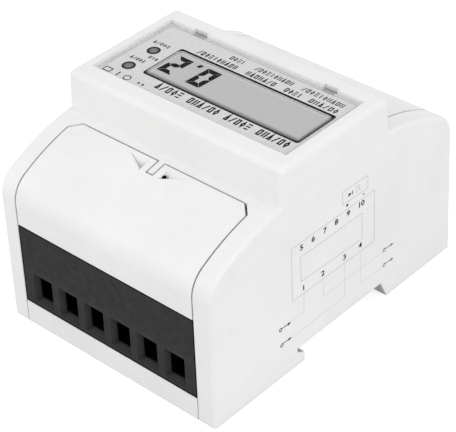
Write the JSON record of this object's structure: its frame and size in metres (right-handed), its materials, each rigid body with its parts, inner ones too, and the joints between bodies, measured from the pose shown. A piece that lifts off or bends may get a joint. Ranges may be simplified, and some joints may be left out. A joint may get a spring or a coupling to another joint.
{
  "type": "din rail energy meter",
  "caption": "Four-module meter for a 35 mm rail: white stepped housing, hinged terminal covers, black terminal blocks and a display window.",
  "frame": {"origin": "middle of the bottom face, the side that goes to the rail", "axes": "+Z out of the rail towards the display, -Y the end with the small terminals, +Y the end with the mains terminals, +X to the right as seen from the small terminals' end"},
  "size_m": [0.076, 0.1, 0.065],
  "materials": {
    "case_white": "fine satin moulding",
    "block_black": "satin moulding",
    "window_clear": "clear polished",
    "label_grey": "printed film with a silver speckle",
    "lcd_grey": "polished glass over a grey display",
    "frame_white": "moulded",
    "strip_rubber": "cut elastomer",
    "led_grey": "tinted lens",
    "board_green": "solder mask",
    "steel_zinc": "zinc plated",
    "spring_steel": "drawn wire",
    "bar_tinned": "tinned",
    "bar_copper": "bare copper",
    "shunt_alloy": "rolled resistance alloy",
    "chip_black": "moulded epoxy",
    "crystal_can": "drawn can",
    "film_yellow": "moulded case",
    "can_sleeve": "shrink sleeve",
    "disc_blue": "dipped epoxy",
    "header_black": "moulded header"
  },
  "bodies": {
    "root": {"main_housing": "case_white", "base_housing": "case_white", "housing_screws": "steel_zinc", "aux_terminal_block": "block_black", "mains_terminal_block": "block_black", "aux_contact_bars": "bar_tinned", "live_in_bar": "bar_copper", "live_out_bar": "bar_copper", "shunt": "shunt_alloy", "neutral_bar": "bar_copper", "rail_clip_spring": "spring_steel", "window": "window_clear", "label_plate": "label_grey", "lcd_glass": "lcd_grey", "lcd_frame": "frame_white", "lcd_contact_strip": "strip_rubber", "power_led": "led_grey", "pulse_led": "led_grey", "main_board": "board_green", "power_board": "board_green", "board_screws": "steel_zinc", "metering_chip": "chip_black", "controller_chip": "chip_black", "crystal": "crystal_can", "dropper_capacitor": "film_yellow", "smoothing_capacitor": "can_sleeve", "varistor": "disc_blue", "optocouplers": "chip_black", "board_link": "header_black"},
    "aux_cover": {"aux_terminal_cover": "case_white"},
    "mains_cover": {"mains_terminal_cover": "case_white"},
    "rail_clip": {"rail_clip": "block_black"},
    "aux_screw_5": {"aux_screw_5": "steel_zinc"},
    "aux_cage_5": {"aux_cage_5": "steel_zinc"},
    "aux_screw_6": {"aux_screw_6": "steel_zinc"},
    "aux_cage_6": {"aux_cage_6": "steel_zinc"},
    "aux_screw_7": {"aux_screw_7": "steel_zinc"},
    "aux_cage_7": {"aux_cage_7": "steel_zinc"},
    "aux_screw_8": {"aux_screw_8": "steel_zinc"},
    "aux_cage_8": {"aux_cage_8": "steel_zinc"},
    "aux_screw_9": {"aux_screw_9": "steel_zinc"},
    "aux_cage_9": {"aux_cage_9": "steel_zinc"},
    "aux_screw_10": {"aux_screw_10": "steel_zinc"},
    "aux_cage_10": {"aux_cage_10": "steel_zinc"},
    "mains_screw_1": {"mains_screw_1": "steel_zinc"},
    "mains_cage_1": {"mains_cage_1": "steel_zinc"},
    "mains_screw_2": {"mains_screw_2": "steel_zinc"},
    "mains_cage_2": {"mains_cage_2": "steel_zinc"},
    "mains_screw_3": {"mains_screw_3": "steel_zinc"},
    "mains_cage_3": {"mains_cage_3": "steel_zinc"},
    "mains_screw_4": {"mains_screw_4": "steel_zinc"},
    "mains_cage_4": {"mains_cage_4": "steel_zinc"}
  },
  "joints": [
    {"name": "aux_cover_hinge", "type": "hinge", "parent": "root", "child": "aux_cover", "pos_m": [0, -0.0472, 0.0373], "axis": [1, 0, 0], "range_deg": [0, 110]},
    {"name": "mains_cover_hinge", "type": "hinge", "parent": "root", "child": "mains_cover", "pos_m": [0, 0.0472, 0.0373], "axis": [-1, 0, 0], "range_deg": [0, 110]},
    {"name": "rail_clip_slide", "type": "slide", "parent": "root", "child": "rail_clip", "axis": [0, 1, 0], "range_m": [0, 0.003], "stiffness_N_per_m": 1500, "springref_m": -0.002, "deforming": ["rail_clip_spring"]},
    {"name": "aux_screw_5_turn", "type": "hinge", "parent": "root", "child": "aux_screw_5", "pos_m": [0.0245, -0.03185, 0.0216], "axis": [0, 0, -1], "range_deg": [0, 4320]},
    {"name": "aux_cage_5_lift", "type": "slide", "parent": "root", "child": "aux_cage_5", "axis": [0, 0, 1], "range_m": [0, 0.0072]},
    {"name": "aux_screw_6_turn", "type": "hinge", "parent": "root", "child": "aux_screw_6", "pos_m": [0.0147, -0.03185, 0.0216], "axis": [0, 0, -1], "range_deg": [0, 4320]},
    {"name": "aux_cage_6_lift", "type": "slide", "parent": "root", "child": "aux_cage_6", "axis": [0, 0, 1], "range_m": [0, 0.0072]},
    {"name": "aux_screw_7_turn", "type": "hinge", "parent": "root", "child": "aux_screw_7", "pos_m": [0.0049, -0.03185, 0.0216], "axis": [0, 0, -1], "range_deg": [0, 4320]},
    {"name": "aux_cage_7_lift", "type": "slide", "parent": "root", "child": "aux_cage_7", "axis": [0, 0, 1], "range_m": [0, 0.0072]},
    {"name": "aux_screw_8_turn", "type": "hinge", "parent": "root", "child": "aux_screw_8", "pos_m": [-0.0049, -0.03185, 0.0216], "axis": [0, 0, -1], "range_deg": [0, 4320]},
    {"name": "aux_cage_8_lift", "type": "slide", "parent": "root", "child": "aux_cage_8", "axis": [0, 0, 1], "range_m": [0, 0.0072]},
    {"name": "aux_screw_9_turn", "type": "hinge", "parent": "root", "child": "aux_screw_9", "pos_m": [-0.0147, -0.03185, 0.0216], "axis": [0, 0, -1], "range_deg": [0, 4320]},
    {"name": "aux_cage_9_lift", "type": "slide", "parent": "root", "child": "aux_cage_9", "axis": [0, 0, 1], "range_m": [0, 0.0072]},
    {"name": "aux_screw_10_turn", "type": "hinge", "parent": "root", "child": "aux_screw_10", "pos_m": [-0.0245, -0.03185, 0.0216], "axis": [0, 0, -1], "range_deg": [0, 4320]},
    {"name": "aux_cage_10_lift", "type": "slide", "parent": "root", "child": "aux_cage_10", "axis": [0, 0, 1], "range_m": [0, 0.0072]},
    {"name": "mains_screw_1_turn", "type": "hinge", "parent": "root", "child": "mains_screw_1", "pos_m": [0.024, 0.03185, 0.0249], "axis": [0, 0, -1], "range_deg": [0, 2520]},
    {"name": "mains_cage_1_lift", "type": "slide", "parent": "root", "child": "mains_cage_1", "axis": [0, 0, 1], "range_m": [0, 0.007]},
    {"name": "mains_screw_2_turn", "type": "hinge", "parent": "root", "child": "mains_screw_2", "pos_m": [0.008, 0.03185, 0.0249], "axis": [0, 0, -1], "range_deg": [0, 2520]},
    {"name": "mains_cage_2_lift", "type": "slide", "parent": "root", "child": "mains_cage_2", "axis": [0, 0, 1], "range_m": [0, 0.007]},
    {"name": "mains_screw_3_turn", "type": "hinge", "parent": "root", "child": "mains_screw_3", "pos_m": [-0.008, 0.03185, 0.0249], "axis": [0, 0, -1], "range_deg": [0, 2520]},
    {"name": "mains_cage_3_lift", "type": "slide", "parent": "root", "child": "mains_cage_3", "axis": [0, 0, 1], "range_m": [0, 0.007]},
    {"name": "mains_screw_4_turn", "type": "hinge", "parent": "root", "child": "mains_screw_4", "pos_m": [-0.024, 0.03185, 0.0249], "axis": [0, 0, -1], "range_deg": [0, 2520]},
    {"name": "mains_cage_4_lift", "type": "slide", "parent": "root", "child": "mains_cage_4", "axis": [0, 0, 1], "range_m": [0, 0.007]}
  ],
  "couplings": [
    {"joint": "aux_screw_5_turn", "follows": "aux_cage_5_lift", "rad_per_m": 10472},
    {"joint": "aux_screw_6_turn", "follows": "aux_cage_6_lift", "rad_per_m": 10472},
    {"joint": "aux_screw_7_turn", "follows": "aux_cage_7_lift", "rad_per_m": 10472},
    {"joint": "aux_screw_8_turn", "follows": "aux_cage_8_lift", "rad_per_m": 10472},
    {"joint": "aux_screw_9_turn", "follows": "aux_cage_9_lift", "rad_per_m": 10472},
    {"joint": "aux_screw_10_turn", "follows": "aux_cage_10_lift", "rad_per_m": 10472},
    {"joint": "mains_screw_1_turn", "follows": "mains_cage_1_lift", "rad_per_m": 6283.2},
    {"joint": "mains_screw_2_turn", "follows": "mains_cage_2_lift", "rad_per_m": 6283.2},
    {"joint": "mains_screw_3_turn", "follows": "mains_cage_3_lift", "rad_per_m": 6283.2},
    {"joint": "mains_screw_4_turn", "follows": "mains_cage_4_lift", "rad_per_m": 6283.2}
  ]
}
